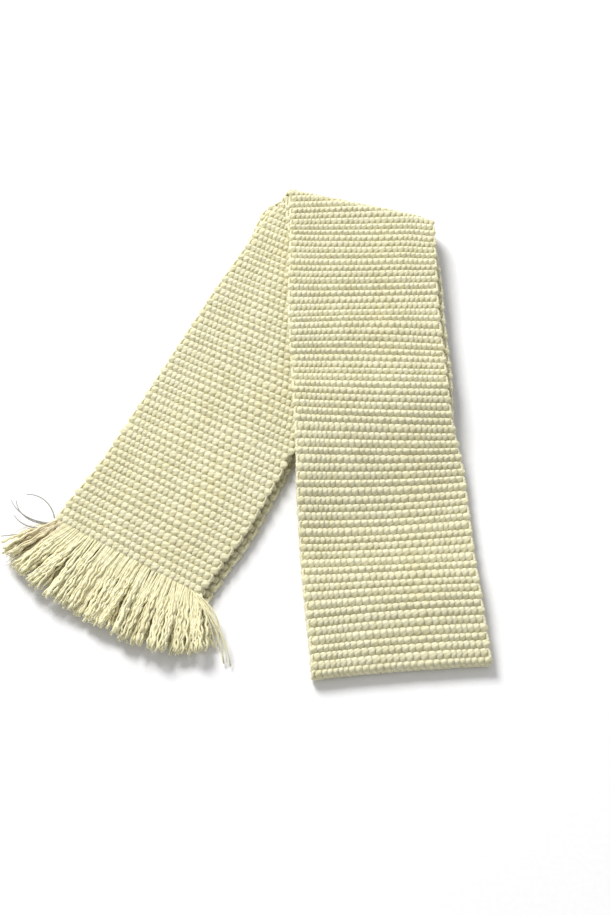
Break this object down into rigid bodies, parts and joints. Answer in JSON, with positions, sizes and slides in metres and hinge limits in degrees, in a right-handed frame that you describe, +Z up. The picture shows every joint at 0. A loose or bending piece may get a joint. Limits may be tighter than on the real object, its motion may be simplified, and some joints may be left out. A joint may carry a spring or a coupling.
{
  "type": "martial arts belt",
  "caption": "Cream cotton martial arts belt: a ribbed woven band with fringed ends, doubled at its middle and folded over once on the slant so that it lies flat.",
  "frame": {"origin": "bottom centre of the folded belt, on the table it lies on", "axes": "+Y from the loose ends towards the slanted top fold, +Z up off the table, +X towards the loop leg"},
  "size_m": [0.1158, 0.1368, 0.0077],
  "materials": {
    "band_weave": "matte ribbed cotton weave",
    "selvedge": "matte cotton edge, small weft loops",
    "fringe_thread": "soft untwisted cotton thread"
  },
  "bodies": {
    "near_ends": {"lower_end": "band_weave", "lower_end_selvedge_left": "selvedge", "lower_end_selvedge_right": "selvedge", "upper_end": "band_weave", "upper_end_selvedge_left": "selvedge", "upper_end_selvedge_right": "selvedge", "outer_top_fold": "band_weave", "inner_top_fold": "band_weave"},
    "loop": {"loop_upper": "band_weave", "loop_upper_selvedge_left": "selvedge", "loop_upper_selvedge_right": "selvedge", "loop_lower": "band_weave", "loop_lower_selvedge_left": "selvedge", "loop_lower_selvedge_right": "selvedge", "mid_fold": "band_weave"},
    "end_pair": {"lower_flap": "band_weave", "lower_flap_selvedge_left": "selvedge", "lower_flap_selvedge_right": "selvedge", "upper_end_middle": "band_weave", "upper_end_middle_selvedge_left": "selvedge", "upper_end_middle_selvedge_right": "selvedge"},
    "upper_tip": {"upper_flap": "band_weave", "upper_flap_selvedge_left": "selvedge", "upper_flap_selvedge_right": "selvedge"},
    "upper_fringe": {"upper_fringe_tuft_1": "fringe_thread", "upper_fringe_tuft_2": "fringe_thread", "upper_fringe_tuft_3": "fringe_thread", "upper_fringe_tuft_4": "fringe_thread", "upper_fringe_tuft_5": "fringe_thread", "upper_fringe_tuft_6": "fringe_thread", "upper_fringe_tuft_7": "fringe_thread", "upper_fringe_tuft_8": "fringe_thread", "loose_thread_1": "fringe_thread", "loose_thread_2": "fringe_thread", "loose_thread_3": "fringe_thread"},
    "lower_fringe": {"lower_fringe_tuft_1": "fringe_thread", "lower_fringe_tuft_2": "fringe_thread", "lower_fringe_tuft_3": "fringe_thread", "lower_fringe_tuft_4": "fringe_thread", "lower_fringe_tuft_5": "fringe_thread", "lower_fringe_tuft_6": "fringe_thread", "lower_fringe_tuft_7": "fringe_thread", "lower_fringe_tuft_8": "fringe_thread"}
  },
  "joints": [
    {"name": "top_fold", "type": "hinge", "parent": "near_ends", "child": "loop", "pos_m": [0.02987, 0.06173, 0.00385], "axis": [-0.9738, 0.2275, 0], "range_deg": [0, 180], "deforming": ["outer_top_fold", "inner_top_fold"]},
    {"name": "ends_lift", "type": "hinge", "parent": "near_ends", "child": "end_pair", "pos_m": [-0.00699, -0.00448, 0.00375], "axis": [-0.8704, 0.4924, 0], "range_deg": [0, 60]},
    {"name": "upper_end_lift", "type": "hinge", "parent": "end_pair", "child": "upper_tip", "pos_m": [-0.01191, -0.01318, 0.00375], "axis": [-0.8704, 0.4924, 0], "range_deg": [0, 75]},
    {"name": "upper_fringe_lift", "type": "hinge", "parent": "upper_tip", "child": "upper_fringe", "pos_m": [-0.02621, -0.03846, 0.00375], "axis": [-0.8251, 0.565, 0], "range_deg": [0, 90]},
    {"name": "lower_fringe_lift", "type": "hinge", "parent": "end_pair", "child": "lower_fringe", "pos_m": [-0.02672, -0.03936, 0.00175], "axis": [-0.8251, 0.565, 0], "range_deg": [0, 45]}
  ],
  "couplings": [
    {"joint": "upper_fringe_lift", "follows": "lower_fringe_lift", "ratio": 2}
  ]
}
